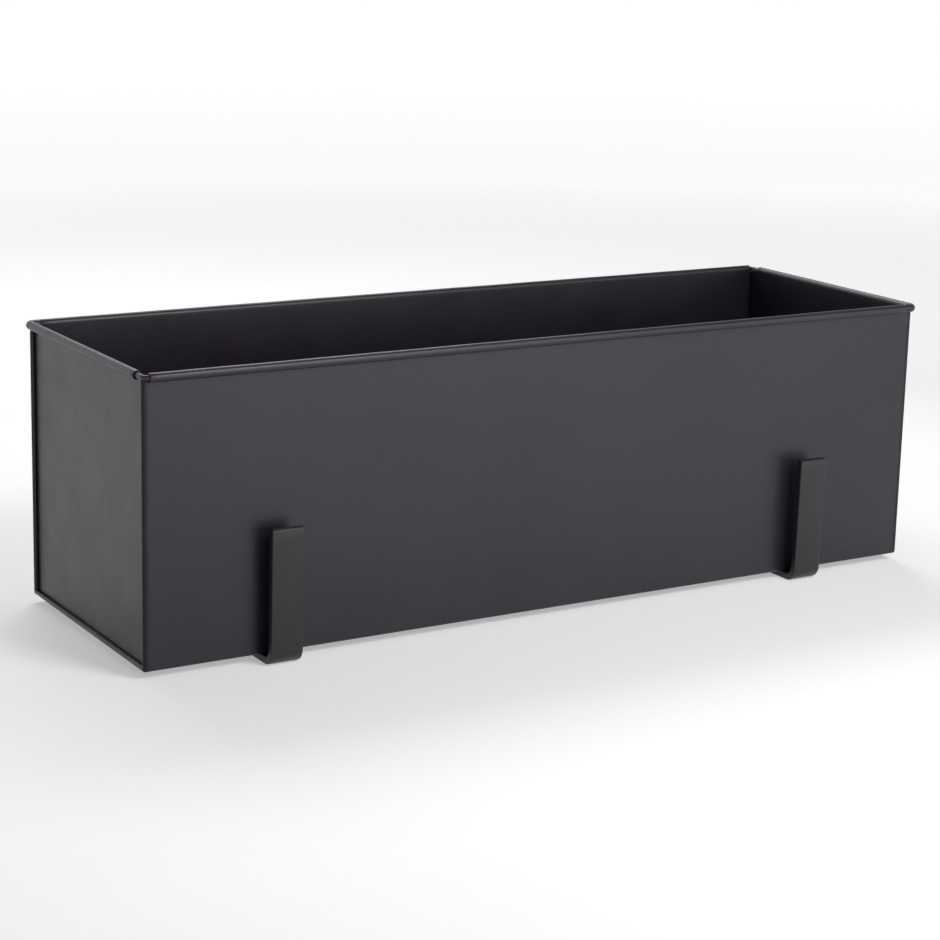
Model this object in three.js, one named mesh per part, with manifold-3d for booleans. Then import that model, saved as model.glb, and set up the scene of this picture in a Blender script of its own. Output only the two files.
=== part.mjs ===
// A rectangular sheet-metal window box that stands in two bent flat-bar brackets.
// Each bracket is a cradle under the box and an adjustable hook that hangs it on a rail.
// Millimetres, +Z up, +X along the box, the front faces -Y. The origin is on the ground
// plane, at the middle of the whole object's footprint.

import * as THREE from 'three';
import { mergeVertices } from 'three/addons/utils/BufferGeometryUtils.js';
import Module from 'manifold-3d';

const wasm = await Module();
wasm.setup();

// ---- driving dimensions ---------------------------------------------------------------

// The box
const BOX_LENGTH = 595;          // over the end seams
const BOX_DEPTH = 184;           // over the front and back walls
const BOX_HEIGHT = 186;          // underside to the top of the rim
const SHEET = 0.9;               // sheet steel
const BOTTOM_BEND = 2.0;         // outer radius of the long bottom bends
const END_BEND = 1.6;            // outer radius where an end panel turns into its flange
const END_RECESS = 2.7;          // seam's edge to the end panel's face
const FOLD_CLEAR = 0.25;         // between the layers of the folded seam

// The wired rim
const WIRE_DIAMETER = 3.6;
const WIRE_CLEAR = 0.3;          // wire to the inside of the rolled sheet
const WIRE_CORNER = 3.5;         // corner radius at the wire's centre
const CURL_ANGLE = THREE.MathUtils.degToRad(298);
const CURL_DROP = 0.5;           // from the underside of the roll to the cut edge at a corner
const NOTCH_LONG = 3.5;          // bare wire beside the corner, along a long wall
const NOTCH_END = 9;             // bare wire beside the corner, along an end
const WRAP_LENGTH = 8.5;         // how far an end's roll runs on round its other corner
const RIM_JOINT = 0.3;           // gap where two rolls meet

// Drainage
const DRAIN_DIAMETER = 10;
const DRAIN_COUNT = 5;
const DRAIN_PITCH = 75;

// The flat-bar cradles
const BRACKET_INSET = { left: 90.5, right: 93.5 };   // end seam to the bar's middle
const BAR_WIDTH = 22;
const BAR_THICKNESS = 5;
const BAR_BEND = 4.5;            // inner bend radius
const BAR_EDGE = 0.6;            // eased long edges
const FRONT_GAP = 8;             // front wall to the front arm
const BACK_GAP = 9;              // back wall to the back riser
const ARM_HEIGHT = 88.5;         // ground to the top of the front arm
const ARM_FLARE = THREE.MathUtils.degToRad(0.85);
const RISER_HEIGHT = 118;        // ground to the top of the back riser

// The rail hooks
const HOOK_THICKNESS = 4;
const HOOK_BEND = 3;             // inner bend radius
const HOOK_FOOT = 28;            // ground to the lower end of the slotted leg
const HOOK_TOP = 158;            // ground to the top face
const RAIL_GAP = 50;             // thickest rail that the hook takes
const LIP_LENGTH = 40;           // underside of the top to the lip's end
const SLIDE_CLEAR = 0.2;         // riser to the slotted leg
const SLOT_TRAVEL = 11;          // each way

// The fasteners
const BOLT_DIAMETER = 6;
const BOLT_LENGTH = 21;          // under the head
const BOLT_Z = { lower: 52, upper: 92 };
const HEAD_DIAMETER = 14;
const HEAD_HEIGHT = 3;
const NECK_LENGTH = 3.6;         // square neck that stops the bolt turning
const BOLT_CHAMFER = 0.75;       // at the shank's end
const HOLE_CLEAR = 0.3;          // all round a bolt, in whatever it passes
const WASHER_DIAMETER = 12;
const WASHER_THICKNESS = 1.6;
const NUT_HUB_DIAMETER = 12;
const NUT_TOP_DIAMETER = 9.8;    // what the hub tapers to
const NUT_HEIGHT = 6.5;
const NUT_RIM = 1.6;             // straight part of the hub, next to the washer
const WING_SPAN = 30;
const WING_HEIGHT = 13;
const WING_THICKNESS = 2.4;
const WING_SETBACK = 1.0;        // hub's faces to the wings' edges
const WING_ROUND = 2.6;          // radius of a wing's tip
const NUT_TURN = { lower: THREE.MathUtils.degToRad(18), upper: THREE.MathUtils.degToRad(-34) };
const SEAT_CLEAR = 0.1;          // between the faces of the bolted stack

// Modelling
const LAP = 1;                   // how far shapes that are joined or cut run into each other
const SHARP_BEND = 0.05;         // least radius inside a bend
const SAME_POINT = 1e-4;         // vertices closer than this are one
const CURL_STEPS = 18;
const CORNER_STEPS = 6;
const BEND_STEPS = 6;
const FOLD_STEPS = 8;
const WIRE_SIDES = 14;
const ROUND_SIDES = 24;

// ---- what follows from them -----------------------------------------------------------

const halfLength = BOX_LENGTH / 2;
const halfDepth = BOX_DEPTH / 2;
const wireRadius = WIRE_DIAMETER / 2;
const rollInner = wireRadius + WIRE_CLEAR;
const rollOuter = rollInner + SHEET;
const rollZ = BOX_HEIGHT - rollOuter;
const cutEdgeZ = BOX_HEIGHT - 2 * rollOuter - CURL_DROP;
const notchEdgeZ = rollZ - wireRadius - RIM_JOINT;     // cut edge under the bare wire

const endFace = halfLength - END_RECESS;               // outer face of an end panel
const endInner = endFace - SHEET;
const rollX = endInner + rollOuter;                    // centre of the roll over an end
const rollY = halfDepth - SHEET + rollOuter;           // centre of the roll over a long wall

const flangeOuter = SHEET + FOLD_CLEAR;                // insets from the outer wall face
const flangeInner = flangeOuter + SHEET;
const seamInner = flangeInner + FOLD_CLEAR + SHEET;    // full thickness of the folded seam
const foldRadius = seamInner / 2;

const armInner = halfDepth + FRONT_GAP;
const riserInner = halfDepth + BACK_GAP;
const riserOuter = riserInner + BAR_THICKNESS;
const legInner = riserOuter + SLIDE_CLEAR;
const legOuter = legInner + HOOK_THICKNESS;
const lipInner = legOuter + RAIL_GAP;
const boltRadius = BOLT_DIAMETER / 2;
const holeRadius = boltRadius + HOLE_CLEAR;
const washerSeat = legOuter + SEAT_CLEAR;
const nutSeat = washerSeat + WASHER_THICKNESS + SEAT_CLEAR;

// ---- helpers --------------------------------------------------------------------------

const vec2 = (x, y) => new THREE.Vector2(x, y);
const vec3 = (x, y, z) => new THREE.Vector3(x, y, z);

// Points along an arc in a plane, both ends included.
function arc(centreX, centreY, radius, from, to, steps) {
  return Array.from({ length: steps + 1 }, (_, i) => {
    const angle = from + (to - from) * i / steps;
    return vec2(centreX + radius * Math.cos(angle), centreY + radius * Math.sin(angle));
  });
}

// A solid from a mesh: shared vertices are merged and only positions are kept.
function toSolid(geometry) {
  const bare = geometry.clone();
  bare.deleteAttribute('normal');
  bare.deleteAttribute('uv');
  const merged = mergeVertices(bare, SAME_POINT);
  return new wasm.Manifold(new wasm.Mesh({
    numProp: 3,
    vertProperties: new Float32Array(merged.attributes.position.array),
    triVerts: new Uint32Array(merged.index.array),
  }));
}

function toGeometry(solid) {
  const { vertProperties, triVerts } = solid.getMesh();
  const geometry = new THREE.BufferGeometry();
  geometry.setAttribute('position', new THREE.BufferAttribute(vertProperties, 3));
  geometry.setIndex(new THREE.BufferAttribute(triVerts, 1));
  geometry.computeVertexNormals();
  return geometry;
}

const join = (...geometries) => toGeometry(geometries.map(toSolid).reduce((a, b) => a.add(b)));

function cut(geometry, ...tools) {
  return toGeometry(tools.map(toSolid).reduce((a, b) => a.subtract(b), toSolid(geometry)));
}

// Twice a flat ring's area vector, by which it is laid flat for its cap.
function ringNormal(ring) {
  const sum = vec3(0, 0, 0);
  ring.forEach((p, i) => sum.add(p.clone().cross(ring[(i + 1) % ring.length])));
  return sum.normalize();
}

function capFaces(ring) {
  const normal = ringNormal(ring);
  const alongX = Math.abs(normal.x) > Math.abs(normal.y);
  const across = (alongX ? vec3(0, 1, 0) : vec3(1, 0, 0)).cross(normal).normalize();
  const up = normal.clone().cross(across);
  return THREE.ShapeUtils.triangulateShape(ring.map((p) => vec2(p.dot(across), p.dot(up))), []);
}

// Skins a run of rings of equal length. An open run is capped; a closed one joins its start.
function loft(rings, closed = false) {
  const size = rings[0].length;
  const faces = [];
  const spans = closed ? rings.length : rings.length - 1;
  for (let r = 0; r < spans; r++) {
    const here = r * size;
    const next = ((r + 1) % rings.length) * size;
    for (let i = 0; i < size; i++) {
      const j = (i + 1) % size;
      faces.push([here + i, here + j, next + j], [here + i, next + j, next + i]);
    }
  }
  if (!closed) {
    const last = (rings.length - 1) * size;
    capFaces(rings[0]).forEach(([a, b, c]) => faces.push([a, c, b]));
    capFaces(rings[rings.length - 1]).forEach(([a, b, c]) => faces.push([last + a, last + b, last + c]));
  }
  const points = rings.flat();
  const volume = faces.reduce((sum, [a, b, c]) =>
    sum + points[a].dot(points[b].clone().cross(points[c])), 0);
  const outward = volume > 0 ? faces : faces.map(([a, b, c]) => [a, c, b]);
  const geometry = new THREE.BufferGeometry();
  geometry.setAttribute('position', new THREE.Float32BufferAttribute(points.flatMap((p) => p.toArray()), 3));
  geometry.setIndex(outward.flat());
  geometry.computeVertexNormals();
  return geometry;
}

// Extrudes an outline drawn in (y, z) along X. An edge radius eases the long edges.
function extrudeX(outline, from, to, edge = 0) {
  const geometry = new THREE.ExtrudeGeometry(new THREE.Shape(outline), {
    depth: to - from - 2 * edge,
    bevelEnabled: edge > 0,
    bevelThickness: edge,
    bevelSize: edge,
    bevelOffset: -edge,
    bevelSegments: 2,
  });
  const turn = new THREE.Matrix4().makeBasis(vec3(0, 1, 0), vec3(0, 0, 1), vec3(1, 0, 0));
  return geometry.applyMatrix4(turn).translate(from + edge, 0, 0);
}

function box(fromX, toX, fromY, toY, fromZ, toZ) {
  return new THREE.BoxGeometry(toX - fromX, toY - fromY, toZ - fromZ)
    .translate((fromX + toX) / 2, (fromY + toY) / 2, (fromZ + toZ) / 2);
}

// Each piece gets a material of its own, of one of three finishes.
const paint = (color, roughness, metalness) =>
  new THREE.MeshStandardMaterial({ color, roughness, metalness });
const boxCoat = () => paint(0x322f35, 0.4, 0);
const barCoat = () => paint(0x2c2a2d, 0.42, 0);
const zincPlate = () => paint(0xa8abae, 0.35, 0.9);

function piece(name, geometry, material) {
  const mesh = new THREE.Mesh(geometry, material);
  mesh.name = name;
  return mesh;
}

// ---- the box --------------------------------------------------------------------------

// The U of front wall, bottom and back wall, drawn `inset` inside the outer face, from the
// front wall's top round to the back wall's top.
function troughPath(inset, frontTop, backTop = frontTop) {
  const radius = Math.max(BOTTOM_BEND - inset, SHARP_BEND);
  const y = halfDepth - inset - radius;
  const z = inset + radius;
  return [
    vec2(-halfDepth + inset, frontTop),
    ...arc(-y, z, radius, Math.PI, 1.5 * Math.PI, BEND_STEPS),
    ...arc(y, z, radius, 1.5 * Math.PI, 2 * Math.PI, BEND_STEPS),
    vec2(halfDepth - inset, backTop),
  ];
}

// The rolled edge's section: a stem that rises from the wall and curls outward round the
// wire. First coordinate outward from the roll's centre, second upward from the ground.
function rollOutline(stemFoot) {
  const end = Math.PI - CURL_ANGLE;
  return [
    vec2(-rollOuter, stemFoot),
    ...arc(0, rollZ, rollOuter, Math.PI, end, CURL_STEPS),
    ...arc(0, rollZ, rollInner, end, Math.PI, CURL_STEPS),
    vec2(-rollInner, stemFoot),
  ];
}

// The rolled edge of a long wall, between two stations along the box.
function longRoll(side, fromX, toX) {
  const outline = rollOutline(cutEdgeZ - LAP).map((p) => vec2(side * (rollY + p.x), p.y));
  return extrudeX(outline, fromX, toX);
}

// The trough's end edge folded back over the end panel's flange, on all three sides. It
// rises under the bare wire at the notched corner: right end at the back, left at the front.
function foldedSeam(side) {
  const centre = halfLength - foldRadius;
  const inside = foldRadius - SHEET;
  const returnEnd = endFace + FOLD_CLEAR;
  const wallEnd = endInner - END_BEND - LAP;
  const section = [
    vec2(wallEnd, 0),
    ...arc(centre, foldRadius, foldRadius, -Math.PI / 2, Math.PI / 2, FOLD_STEPS),
    vec2(returnEnd, seamInner),
    vec2(returnEnd, seamInner - SHEET),
    ...arc(centre, foldRadius, inside, Math.PI / 2, -Math.PI / 2, FOLD_STEPS),
    vec2(wallEnd, SHEET),
  ];
  const tops = side > 0 ? [cutEdgeZ, notchEdgeZ] : [notchEdgeZ, cutEdgeZ];
  const paths = section.map((p) => troughPath(p.y, ...tops));
  const rings = paths[0].map((_, station) =>
    section.map((p, i) => vec3(side * p.x, paths[i][station].x, paths[i][station].y)));
  return loft(rings);
}

function drainHole(x) {
  const radius = DRAIN_DIAMETER / 2;
  return new THREE.CylinderGeometry(radius, radius, 2 * (SHEET + LAP), ROUND_SIDES)
    .rotateX(Math.PI / 2)
    .translate(x, 0, 0);
}

function makeTrough() {
  const walls = [...troughPath(0, cutEdgeZ), ...troughPath(SHEET, cutEdgeZ).reverse()];
  const wrapped = halfLength - WRAP_LENGTH;
  const notched = halfLength - NOTCH_LONG;
  const body = join(
    extrudeX(walls, -endInner + END_BEND, endInner - END_BEND),
    foldedSeam(-1),
    foldedSeam(1),
    longRoll(-1, -notched, wrapped),
    longRoll(1, -wrapped, notched),
  );
  const holes = Array.from({ length: DRAIN_COUNT }, (_, i) =>
    drainHole((i - (DRAIN_COUNT - 1) / 2) * DRAIN_PITCH));
  return cut(body, ...holes);
}

// A solid block with the trough's inner outline, stepped in at each (x, inset) station.
function endBlock(stations, ...tops) {
  return loft(stations.map(({ x, y: inset }) => troughPath(inset, ...tops).map((p) => vec3(x, p.x, p.y))));
}

// An end panel: a flat plate whose three lower edges turn out into flanges. The plate rises
// beside the wire from side to side. Its rolled top edge stops at the notched back corner
// and runs on round the front one. Drawn for the right-hand end.
function makeEndPanel() {
  const flangeEnd = halfLength - foldRadius + FOLD_CLEAR;
  const insideBend = END_BEND - SHEET;
  const outer = endBlock([
    vec2(flangeEnd, flangeOuter),
    ...arc(endInner + END_BEND, flangeOuter + END_BEND, END_BEND, -Math.PI / 2, -Math.PI, BEND_STEPS),
  ], cutEdgeZ, notchEdgeZ);
  const hollow = endBlock([
    vec2(flangeEnd + LAP, flangeInner),
    ...arc(endFace + insideBend, flangeInner + insideBend, insideBend, -Math.PI / 2, -Math.PI, BEND_STEPS),
  ], BOX_HEIGHT);
  const neckReach = halfDepth - flangeInner - END_BEND;
  const neck = box(endInner, endFace, -neckReach, neckReach, cutEdgeZ - LAP, rollZ);

  const corner = arc(rollX - WIRE_CORNER, -(rollY - WIRE_CORNER), WIRE_CORNER, 0, -Math.PI / 2, CORNER_STEPS);
  const outline = rollOutline(cutEdgeZ + RIM_JOINT);
  const station = (x, y, outX, outY) => outline.map((p) => vec3(x + outX * p.x, y + outY * p.x, p.y));
  const roll = loft([
    station(rollX, halfDepth - NOTCH_END, 1, 0),
    ...corner.map((p, i) => {
      const angle = -Math.PI / 2 * i / CORNER_STEPS;
      return station(p.x, p.y, Math.cos(angle), Math.sin(angle));
    }),
    station(halfLength - WRAP_LENGTH + RIM_JOINT, -rollY, 0, -1),
  ]);
  return join(cut(outer, hollow), neck, roll);
}

// One loop of wire inside the rolled edge, bare at two opposite corners.
function makeRimWire() {
  const section = arc(0, 0, wireRadius, 0, 2 * Math.PI, WIRE_SIDES).slice(0, WIRE_SIDES);
  const corners = [[1, 1], [-1, 1], [-1, -1], [1, -1]];
  const rings = corners.flatMap(([sideX, sideY], quarter) => {
    const start = quarter * Math.PI / 2;
    return Array.from({ length: CORNER_STEPS + 1 }, (_, i) => {
      const angle = start + Math.PI / 2 * i / CORNER_STEPS;
      const x = sideX * (rollX - WIRE_CORNER);
      const y = sideY * (rollY - WIRE_CORNER);
      return section.map((p) => vec3(
        x + (WIRE_CORNER + p.x) * Math.cos(angle),
        y + (WIRE_CORNER + p.x) * Math.sin(angle),
        rollZ + p.y,
      ));
    });
  });
  return loft(rings, true);
}

// ---- the brackets ---------------------------------------------------------------------

// The outline of a flat bar bent along a centre line, with one radius at every bend.
function bentBar(line, thickness, innerRadius) {
  const radius = innerRadius + thickness / 2;
  const stations = line.flatMap((point, i) => {
    if (i === 0 || i === line.length - 1) {
      const along = (i === 0 ? line[1].clone().sub(point) : point.clone().sub(line[i - 1])).normalize();
      return [{ point, normal: vec2(-along.y, along.x) }];
    }
    const before = point.clone().sub(line[i - 1]).normalize();
    const after = line[i + 1].clone().sub(point).normalize();
    const turn = Math.atan2(before.cross(after), before.dot(after));
    const setback = radius * Math.tan(Math.abs(turn) / 2);
    const start = point.clone().addScaledVector(before, -setback);
    const side = Math.sign(turn);
    const centre = start.clone().add(vec2(-before.y, before.x).multiplyScalar(side * radius));
    return Array.from({ length: BEND_STEPS + 1 }, (_, k) => {
      const normal = vec2(-before.y, before.x).rotateAround(vec2(0, 0), turn * k / BEND_STEPS);
      return { point: centre.clone().addScaledVector(normal, -side * radius), normal };
    });
  });
  const offset = (side) => stations.map(({ point, normal }) =>
    point.clone().addScaledVector(normal, side * thickness / 2));
  return [...offset(1), ...offset(-1).reverse()];
}

// Front arm, foot and back riser in one bar, about its own middle in X.
function makeCradle() {
  const half = BAR_THICKNESS / 2;
  const armY = -(armInner + half);
  const line = [
    vec2(armY - (ARM_HEIGHT - half) * Math.tan(ARM_FLARE), ARM_HEIGHT),
    vec2(armY, half),
    vec2(riserInner + half, half),
    vec2(riserInner + half, RISER_HEIGHT),
  ];
  const bar = extrudeX(bentBar(line, BAR_THICKNESS, BAR_BEND), -BAR_WIDTH / 2, BAR_WIDTH / 2, BAR_EDGE);
  const squareHoles = Object.values(BOLT_Z).map((z) => box(
    -holeRadius, holeRadius, riserInner - LAP, riserOuter + LAP,
    z - holeRadius, z + holeRadius,
  ));
  return cut(bar, ...squareHoles);
}

// A slot through the hook's leg: the bolt's width, and as long as the hook's travel.
function legSlot(z) {
  const shape = new THREE.Shape([
    ...arc(0, SLOT_TRAVEL, holeRadius, 0, Math.PI, BEND_STEPS),
    ...arc(0, -SLOT_TRAVEL, holeRadius, Math.PI, 2 * Math.PI, BEND_STEPS),
  ]);
  return new THREE.ExtrudeGeometry(shape, { depth: HOOK_THICKNESS + 2 * LAP, bevelEnabled: false })
    .rotateX(Math.PI / 2)
    .translate(0, legOuter + LAP, z);
}

// The rail hook: slotted leg, top and lip in one bar, about its own middle in X.
function makeHook() {
  const half = HOOK_THICKNESS / 2;
  const line = [
    vec2(legInner + half, HOOK_FOOT),
    vec2(legInner + half, HOOK_TOP - half),
    vec2(lipInner + half, HOOK_TOP - half),
    vec2(lipInner + half, HOOK_TOP - HOOK_THICKNESS - LIP_LENGTH),
  ];
  const bar = extrudeX(bentBar(line, HOOK_THICKNESS, HOOK_BEND), -BAR_WIDTH / 2, BAR_WIDTH / 2, BAR_EDGE);
  return cut(bar, ...Object.values(BOLT_Z).map(legSlot));
}

// ---- the fasteners, each along +Y from its seat ----------------------------------------

// A carriage bolt: low domed head, square neck and plain shank with a pointed end.
function makeBolt() {
  const headRadius = HEAD_DIAMETER / 2;
  const dome = arc(0, 0, 1, -Math.PI / 2, 0, BEND_STEPS)
    .map((p) => vec2(headRadius * p.x, HEAD_HEIGHT * p.y));
  dome[0].x = 0;
  const profile = [
    ...dome,
    vec2(boltRadius, 0),
    vec2(boltRadius, BOLT_LENGTH - BOLT_CHAMFER),
    vec2(boltRadius - BOLT_CHAMFER, BOLT_LENGTH),
    vec2(0, BOLT_LENGTH),
  ];
  const round = new THREE.LatheGeometry(profile, ROUND_SIDES);
  const neck = box(-boltRadius, boltRadius, -SEAT_CLEAR, NECK_LENGTH, -boltRadius, boltRadius);
  return join(round, neck);
}

// A ring whose section is a closed outline in (radius, y).
function ring(outline) {
  return new THREE.LatheGeometry([...outline, outline[0].clone()], ROUND_SIDES);
}

function makeWasher() {
  const outer = WASHER_DIAMETER / 2;
  return ring([
    vec2(holeRadius, 0), vec2(outer, 0),
    vec2(outer, WASHER_THICKNESS), vec2(holeRadius, WASHER_THICKNESS),
  ]);
}

// One wing's outline, in (x, y): a round belly up to the tip, and back down into the hub,
// from the middle of whose wall it grows.
function wingOutline() {
  const root = (holeRadius + NUT_TOP_DIAMETER / 2) / 2;
  const tip = WING_SPAN / 2;
  const low = WING_SETBACK;
  const high = NUT_HEIGHT - WING_SETBACK;
  const shoulder = WING_HEIGHT - WING_ROUND;
  const belly = new THREE.QuadraticBezierCurve(
    vec2(NUT_HUB_DIAMETER / 2, low), vec2(tip, low), vec2(tip, shoulder),
  );
  const back = new THREE.QuadraticBezierCurve(
    vec2(tip - 2 * WING_ROUND, shoulder), vec2(tip - 2 * WING_ROUND, high), vec2(root, high),
  );
  return [
    vec2(root, low),
    ...belly.getPoints(BEND_STEPS),
    ...arc(tip - WING_ROUND, shoulder, WING_ROUND, 0, Math.PI, BEND_STEPS).slice(1),
    ...back.getPoints(BEND_STEPS).slice(1),
  ];
}

function makeWingNut() {
  const hub = NUT_HUB_DIAMETER / 2;
  const body = ring([
    vec2(holeRadius, 0), vec2(hub, 0), vec2(hub, NUT_RIM),
    vec2(NUT_TOP_DIAMETER / 2, NUT_HEIGHT), vec2(holeRadius, NUT_HEIGHT),
  ]);
  const wing = (side) => new THREE.ExtrudeGeometry(
    new THREE.Shape(wingOutline().map((p) => vec2(side * p.x, p.y))),
    { depth: WING_THICKNESS, bevelEnabled: false },
  ).translate(0, 0, -WING_THICKNESS / 2);
  return join(body, wing(1), wing(-1));
}

// ---- assembly -------------------------------------------------------------------------

const object = new THREE.Group();

const planter = new THREE.Group();
planter.position.z = BAR_THICKNESS;
const leftEnd = piece('left_end_panel', makeEndPanel(), boxCoat());
leftEnd.rotation.z = Math.PI;
planter.add(
  piece('trough', makeTrough(), boxCoat()),
  leftEnd,
  piece('right_end_panel', makeEndPanel(), boxCoat()),
  piece('rim_wire', makeRimWire(), boxCoat()),
);
object.add(planter);

for (const [side, sign] of Object.entries({ left: -1, right: 1 })) {
  const bracket = new THREE.Group();
  bracket.position.x = sign * (halfLength - BRACKET_INSET[side]);
  bracket.add(
    piece(`${side}_cradle`, makeCradle(), barCoat()),
    piece(`${side}_rail_hook`, makeHook(), barCoat()),
  );
  for (const [level, z] of Object.entries(BOLT_Z)) {
    const bolt = piece(`${side}_${level}_bolt`, makeBolt(), zincPlate());
    bolt.position.set(0, riserInner, z);
    const washer = piece(`${side}_${level}_washer`, makeWasher(), zincPlate());
    washer.position.set(0, washerSeat, z);
    const nut = piece(`${side}_${level}_wing_nut`, makeWingNut(), zincPlate());
    nut.position.set(0, nutSeat, z);
    nut.rotation.y = NUT_TURN[level];
    bracket.add(bolt, washer, nut);
  }
  object.add(bracket);
}

// The footprint runs from the flared top of the front arms to the back of the hooks' lips.
const frontReach = armInner + BAR_THICKNESS * (1 + 1 / Math.cos(ARM_FLARE)) / 2
  + (ARM_HEIGHT - BAR_THICKNESS / 2) * Math.tan(ARM_FLARE);
const backReach = lipInner + HOOK_THICKNESS;
object.position.y = (frontReach - backReach) / 2;

export default object;
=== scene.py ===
"""A sheet-metal window box in two flat-bar brackets, in a plain studio.

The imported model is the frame. Every piece of it is made again here as a finer mesh, in
metres and in the same place, and rides on the same body.
"""

import math

import bmesh
import bpy
import numpy as np
from mathutils import Matrix, Vector


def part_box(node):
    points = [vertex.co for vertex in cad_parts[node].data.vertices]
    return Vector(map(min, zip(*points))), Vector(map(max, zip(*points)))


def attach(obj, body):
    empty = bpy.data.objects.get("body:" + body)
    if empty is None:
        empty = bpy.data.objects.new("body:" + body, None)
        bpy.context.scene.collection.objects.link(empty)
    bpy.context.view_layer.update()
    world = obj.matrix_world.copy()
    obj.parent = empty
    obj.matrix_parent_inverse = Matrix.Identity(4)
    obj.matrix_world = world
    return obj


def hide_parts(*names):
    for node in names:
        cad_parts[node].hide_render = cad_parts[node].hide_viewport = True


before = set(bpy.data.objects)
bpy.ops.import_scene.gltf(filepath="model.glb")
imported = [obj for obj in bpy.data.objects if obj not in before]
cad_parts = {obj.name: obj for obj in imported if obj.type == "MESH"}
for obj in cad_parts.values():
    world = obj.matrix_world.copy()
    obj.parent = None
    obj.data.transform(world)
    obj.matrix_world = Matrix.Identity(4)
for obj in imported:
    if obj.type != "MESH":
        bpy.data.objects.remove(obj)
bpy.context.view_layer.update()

MM = 0.001
DEGREE = math.pi / 180

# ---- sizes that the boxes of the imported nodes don't give -------------------------------

SHEET = 0.9 * MM                 # sheet steel
BOTTOM_BEND = 2.0 * MM           # outer radius of the long bottom bends
SHARP_BEND = 0.05 * MM           # least radius inside a bend
END_BEND = 1.6 * MM              # outer radius where an end panel turns into its flange
END_RECESS = 2.7 * MM            # seam's edge to the end panel's face
FOLD_CLEAR = 0.25 * MM           # between the layers of the folded seam
WIRE_CLEAR = 0.3 * MM            # wire to the inside of the rolled sheet
WIRE_CORNER = 3.5 * MM           # corner radius at the wire's centre
CURL_ANGLE = 306 * DEGREE        # how far the rolled edge closes round the wire
CURL_DROP = 0.5 * MM             # underside of the roll to the cut edge at a corner
NOTCH_LONG = 3.5 * MM            # bare wire beside the corner, along a long wall
BARE_LONG = 2.7 * MM             # from the corner to where the wall lies inside the wire
BARE_RISE = 1.3 * MM             # wire's centre to the wall's edge there
NOTCH_END = 9 * MM               # bare wire beside the corner, along an end
WRAP_LENGTH = 8.5 * MM           # how far an end's roll runs on round its other corner
RIM_JOINT = 0.3 * MM             # gap where two rolls meet
DRAIN_RADIUS = 5 * MM
DRAIN_COUNT = 5
DRAIN_PITCH = 75 * MM

BAR_THICKNESS = 5 * MM
BAR_BEND = 4.5 * MM              # inner bend radius
BAR_EDGE = 0.7 * MM              # radius of the bar's eased edges
ARM_FLARE = 0.85 * DEGREE
HOOK_THICKNESS = 4 * MM
HOOK_BEND = 3 * MM               # inner bend radius
SLOT_TRAVEL = 11 * MM            # each way

HEAD_HEIGHT = 3 * MM
NECK_LENGTH = 3.6 * MM
SHANK_RADIUS = 3 * MM
SHANK_CHAMFER = 0.75 * MM
HOLE_CLEAR = 0.3 * MM
THREAD_PITCH = 1.0 * MM
THREAD_DEPTH = 0.45 * MM
NUT_BORE = 3.12 * MM             # radius
NUT_HUB = 6 * MM                 # radius
NUT_TOP = 4.9 * MM               # radius that the hub tapers to
NUT_RIM = 1.6 * MM
NUT_HEIGHT = 6.5 * MM
WING_TIP = 14.8 * MM             # axis to a wing's tip
WING_HEIGHT = 12.9 * MM
WING_THICKNESS = 2.4 * MM
WING_SETBACK = 1.0 * MM
WING_ROUND = 2.6 * MM
NUT_TURN = {"lower": 18 * DEGREE, "upper": -34 * DEGREE}

# ---- places that follow from the frame --------------------------------------------------

trough_low, trough_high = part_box("trough")
wire_low, wire_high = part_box("rim_wire")

wire_radius = (wire_high.z - wire_low.z) / 2
roll_inner = wire_radius + WIRE_CLEAR
roll_outer = roll_inner + SHEET
middle_y = (trough_low.y + trough_high.y) / 2
ground_z = trough_low.z
rim_top = trough_high.z - ground_z
roll_z = rim_top - roll_outer
cut_edge = rim_top - 2 * roll_outer - CURL_DROP
notch_edge = roll_z - wire_radius - RIM_JOINT     # where the sheet ends under the bare wire
beside_edge = roll_z - BARE_RISE
half_length = trough_high.x
half_depth = (trough_high.y - trough_low.y) / 2 - 2 * roll_outer + SHEET
roll_y = half_depth - SHEET + roll_outer

end_face = half_length - END_RECESS
end_inner = end_face - SHEET
roll_x = end_inner + roll_outer
flange_outer = SHEET + FOLD_CLEAR
flange_inner = flange_outer + SHEET
seam_inner = flange_inner + FOLD_CLEAR + SHEET
fold_radius = seam_inner / 2

# ---- mesh helpers -----------------------------------------------------------------------

SMOOTH_ANGLE = 38 * DEGREE
EASE_ANGLE = 50 * DEGREE         # only edges sharper than this are eased
EASE_SEGMENTS = 2
WELD = 1e-6                      # points nearer than this are one


def new_object(name, points, faces):
    mesh = bpy.data.meshes.new(name)
    mesh.from_pydata([tuple(p) for p in points], [], faces)
    obj = bpy.data.objects.new(name, mesh)
    bpy.context.scene.collection.objects.link(obj)
    face_outward(mesh)
    return obj


def face_outward(mesh):
    work = bmesh.new()
    work.from_mesh(mesh)
    bmesh.ops.recalc_face_normals(work, faces=work.faces)
    work.to_mesh(mesh)
    work.free()


def shade(obj, angle=SMOOTH_ANGLE):
    """Smooth shading, with a hard edge wherever two faces meet at more than the angle."""
    obj.data.shade_smooth()
    obj.data.set_sharp_from_angle(angle=angle)
    return obj


def settle(obj):
    """Turns the modifiers' result into the object's own mesh."""
    bpy.context.view_layer.update()
    graph = bpy.context.evaluated_depsgraph_get()
    mesh = bpy.data.meshes.new_from_object(obj.evaluated_get(graph), depsgraph=graph)
    obj.modifiers.clear()
    old = obj.data
    obj.data = mesh
    bpy.data.meshes.remove(old)
    mesh.name = obj.name
    return obj


def ease_edges(obj, width):
    bevel = obj.modifiers.new("eased", "BEVEL")
    bevel.width = width
    bevel.segments = EASE_SEGMENTS
    bevel.limit_method = "ANGLE"
    bevel.angle_limit = EASE_ANGLE
    return settle(obj)


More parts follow.
